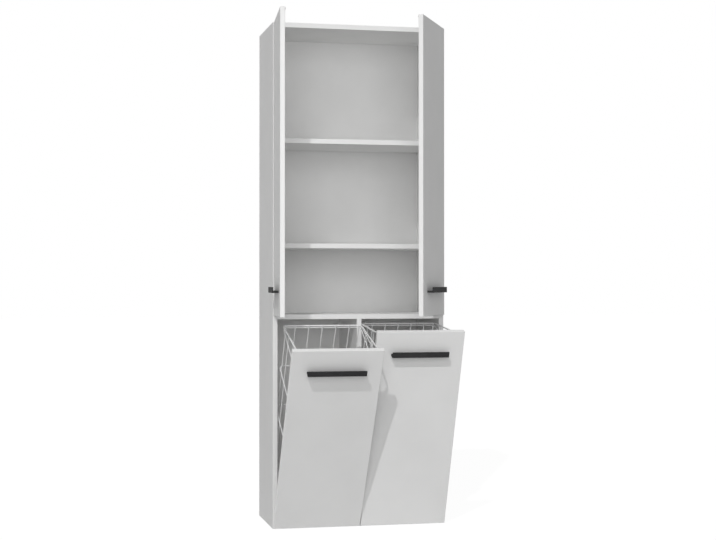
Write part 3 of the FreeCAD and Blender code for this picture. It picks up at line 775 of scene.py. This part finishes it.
inner_front = basket_front + WIRE
inner_back = basket_back - WIRE
inner_left = basket_left + WIRE
inner_right = basket_right - WIRE
uprights = []
crossings = []
for step in UPRIGHT_STEPS:
    x = basket_middle + step * UPRIGHT_PITCH
    stops = [Vector((x, inner_back, rim_height(inner_back) + RIM_WIRE / 2)),
             Vector((x, inner_back, floor_wire)),
             Vector((x, inner_front, floor_wire)),
             Vector((x, inner_front, rim_height(inner_front) + RIM_WIRE / 2))]
    uprights.append(bend_wire("upright", stops, UPRIGHT_BEND, WIRE))
    for height in hoop_heights:
        crossings.append((x, basket_front + WIRE / 2, height))
        crossings.append((x, basket_back - WIRE / 2, height))
    crossings.append((x, inner_front - WIRE / 2, rim_height(inner_front)))
    crossings.append((x, inner_back + WIRE / 2, rim_height(inner_back)))
for depth in SIDE_UPRIGHTS:
    y = basket_front + depth
    low = floor_wire - WIRE
    high = rim_height(y) + RIM_WIRE / 2
    stops = [Vector((inner_left, y, high)), Vector((inner_left, y, low)),
             Vector((inner_right, y, low)), Vector((inner_right, y, high))]
    uprights.append(bend_wire("upright", stops, UPRIGHT_BEND, WIRE))
    for x in (basket_left + WIRE / 2, basket_right - WIRE / 2):
        crossings.extend((x, y, height) for height in hoop_heights + [rim_height(y)])
    for step in UPRIGHT_STEPS:
        crossings.append((basket_middle + step * UPRIGHT_PITCH, y, floor_wire - WIRE / 2))
corner_inset = HOOP_BEND - (HOOP_BEND - WIRE) * math.sqrt(1 / 2)
weld_inset = HOOP_BEND - (HOOP_BEND - WIRE / 2) * math.sqrt(1 / 2)
for side_x, toward_x in ((basket_left, 1), (basket_right, -1)):
    for side_y, toward_y in ((basket_front, 1), (basket_back, -1)):
        x = side_x + toward_x * corner_inset
        y = side_y + toward_y * corner_inset
        stops = [Vector((x, y, rim_height(y) + RIM_WIRE / 2)), Vector((x, y, hoop_heights[0] - WIRE))]
        uprights.append(bend_wire("upright", stops, bend=0.0, thick=WIRE))
        weld_x = side_x + toward_x * weld_inset
        weld_y = side_y + toward_y * weld_inset
        crossings.extend((weld_x, weld_y, height) for height in hoop_heights + [rim_height(y)])
bpy.ops.object.select_all(action="DESELECT")
bpy.ops.mesh.primitive_uv_sphere_add(segments=8, ring_count=6, radius=WELD_RADIUS)
weld = bpy.context.object
bpy.ops.object.mode_set(mode="EDIT")
bpy.ops.mesh.select_all(action="SELECT")
bpy.ops.transform.resize(value=(1.0, 1.0, WELD_FLAT))
bpy.ops.object.mode_set(mode="OBJECT")
bpy.ops.object.shade_smooth()

white_coat = new_finish("white_powder_coat", colour=(0.90, 0.90, 0.90), roughness=0.3, specular=0.5)
tint(white_coat, grain(white_coat, scale=30, detail=4),
     dark=(0.885, 0.885, 0.885), light=(0.915, 0.915, 0.915))
gloss(white_coat, grain(white_coat, scale=250, detail=4), low=0.22, high=0.38)
relief(white_coat, grain(white_coat, scale=1500, detail=2), strength=0.1, depth=0.0001)
basket_wires = {"basket_rim": rim,
                "basket_hoops": join_group("hoops", hoops),
                "basket_uprights": join_group("uprights", uprights),
                "basket_welds": copies_at(weld, "welds", [Matrix.Translation(spot) for spot in crossings])}
shift_right = Matrix.Translation((-2 * basket_middle, 0, 0))
for leaf, shift in (("left_hamper", Matrix.Identity(4)), ("right_hamper", shift_right)):
    for part, pattern in basket_wires.items():
        wires = repeat(pattern, leaf + "_" + part + "_wire", [opening_turn(leaf) @ shift])
        coat(wires, white_coat)
        if part == "basket_welds":
            fit(wires, leaf, "white_wire")
        else:
            fit(wires, leaf, "white_wire", leaf + "_" + part)
for pattern in basket_wires.values():
    bpy.data.objects.remove(pattern)


# Basket clips: hooks of white moulded nylon, fixed to the inner face of each hamper front.
# They carry the basket by its rim and its lowest hoop.
CLIP_ARRIS = 0.0004

white_nylon = new_finish("white_nylon", colour=(0.86, 0.86, 0.855), roughness=0.45, specular=0.4)
tint(white_nylon, grain(white_nylon, scale=80, detail=4),
     dark=(0.845, 0.845, 0.84), light=(0.875, 0.875, 0.87))
gloss(white_nylon, grain(white_nylon, scale=500, detail=3), low=0.38, high=0.54)
for leaf in ("left_hamper", "right_hamper"):
    clips = eased_copy(leaf + "_basket_clips", leaf + "_wire_clips", CLIP_ARRIS)
    coat(clips, white_nylon)
    fit(clips, leaf, "white_plastic", leaf + "_basket_clips")


# Floor, light and camera: a white floor, a high lamp from the left, a wide soft lamp above the camera and
# a pale sky that is brighter overhead and on the left. The camera stands where the picture was taken from.
FLOOR_SIZE = 60.0
FLOOR_COLOUR = (0.62, 0.62, 0.62)
FLOOR_SHOW = 0.78
FLOOR_GLOW = 1.2
SKY_LEVEL = 0.2
SKY_TILT = (-0.075, 0.0, 0.165)
LAMP_LEVEL = 1.08
LAMP_SPREAD = 1.0
LAMP_LEFT = 25.0
LAMP_UP = 40.0
LAMP_PLACE = (-1, -2, 3)
FILL_LEVEL = 58.0
FILL_SIZE = 2.6
FILL_PLACE = Vector((-0.8, -4.7, 1.8))
FILL_AIM = Vector((0.0, 0.0, 0.9))
CAMERA_PLACE = (-1.1106, -5.1001, 0.8353)
CAMERA_RIGHT = 12.6
CAMERA_UP = 0.48
CAMERA_LENS = 74.24
CAMERA_SENSOR = 36.0
CAMERA_REACH = 200.0


def seen_directly(tree):
    """One where a surface is seen by the camera or in a mirror-like reflection, and none for lighting."""
    path = tree.nodes.new("ShaderNodeLightPath")
    both = tree.nodes.new("ShaderNodeMath")
    every = tree.nodes.new("ShaderNodeMath")
    both.operation = every.operation = "MAXIMUM"
    tree.links.new(path.outputs["Is Camera Ray"], both.inputs[0])
    tree.links.new(path.outputs["Is Glossy Ray"], both.inputs[1])
    tree.links.new(both.outputs[0], every.inputs[0])
    tree.links.new(path.outputs["Is Transmission Ray"], every.inputs[1])
    return every.outputs[0]


bpy.ops.object.select_all(action="DESELECT")
bpy.ops.mesh.primitive_plane_add(size=FLOOR_SIZE, location=(0, 0, 0))
floor = bpy.context.object
floor.name = "floor"
floor_white = new_finish("floor_white", colour=FLOOR_COLOUR, roughness=0.9, specular=0.0)
tree = floor_white.node_tree
glow = tree.nodes.new("ShaderNodeEmission")
glow.inputs["Strength"].default_value = FLOOR_GLOW
share = tree.nodes.new("ShaderNodeMath")
blend = tree.nodes.new("ShaderNodeMixShader")
share.operation = "MULTIPLY"
share.inputs[1].default_value = FLOOR_SHOW
tree.links.new(seen_directly(tree), share.inputs[0])
tree.links.new(share.outputs[0], blend.inputs["Fac"])
tree.links.new(tree.nodes["Principled BSDF"].outputs["BSDF"], blend.inputs[1])
tree.links.new(glow.outputs["Emission"], blend.inputs[2])
tree.links.new(blend.outputs["Shader"], tree.nodes["Material Output"].inputs["Surface"])
floor.data.materials.append(floor_white)

sky = bpy.data.worlds.new("pale_sky")
bpy.context.scene.world = sky
sky.use_nodes = True
tree = sky.node_tree
direction = tree.nodes.new("ShaderNodeTexCoord")
slope = tree.nodes.new("ShaderNodeVectorMath")
lift = tree.nodes.new("ShaderNodeMath")
level = tree.nodes.new("ShaderNodeMix")
slope.operation = "DOT_PRODUCT"
slope.inputs[1].default_value = SKY_TILT
lift.operation = "ADD"
lift.inputs[1].default_value = SKY_LEVEL
level.inputs["B"].default_value = 1.0
tree.links.new(direction.outputs["Generated"], slope.inputs[0])
tree.links.new(slope.outputs["Value"], lift.inputs[0])
tree.links.new(seen_directly(tree), level.inputs["Factor"])
tree.links.new(lift.outputs[0], level.inputs["A"])
tree.links.new(level.outputs["Result"], tree.nodes["Background"].inputs["Strength"])
tree.nodes["Background"].inputs["Color"].default_value = (1, 1, 1, 1)

bpy.ops.object.light_add(type="SUN", location=LAMP_PLACE)
lamp = bpy.context.object
lamp.data.energy = LAMP_LEVEL
lamp.data.angle = math.radians(LAMP_SPREAD)
lamp.rotation_euler = (math.radians(90 - LAMP_UP), 0, math.radians(-LAMP_LEFT))
screened = bpy.data.collections.new("screened_from_lamp")
screened.objects.link(back)
lamp.light_linking.receiver_collection = screened
screened.collection_objects[0].light_linking.link_state = "EXCLUDE"

bpy.ops.object.light_add(type="AREA", location=FILL_PLACE)
fill = bpy.context.object
fill.data.size = FILL_SIZE
fill.data.energy = FILL_LEVEL
fill.rotation_euler = (FILL_AIM - FILL_PLACE).to_track_quat("-Z", "Y").to_euler()

bpy.ops.object.camera_add(location=CAMERA_PLACE)
camera = bpy.context.object
camera.rotation_euler = (math.radians(90 + CAMERA_UP), 0, math.radians(-CAMERA_RIGHT))
camera.data.lens = CAMERA_LENS
camera.data.sensor_width = CAMERA_SENSOR
camera.data.clip_end = CAMERA_REACH
bpy.context.scene.camera = camera
bpy.context.scene.view_settings.view_transform = "Standard"
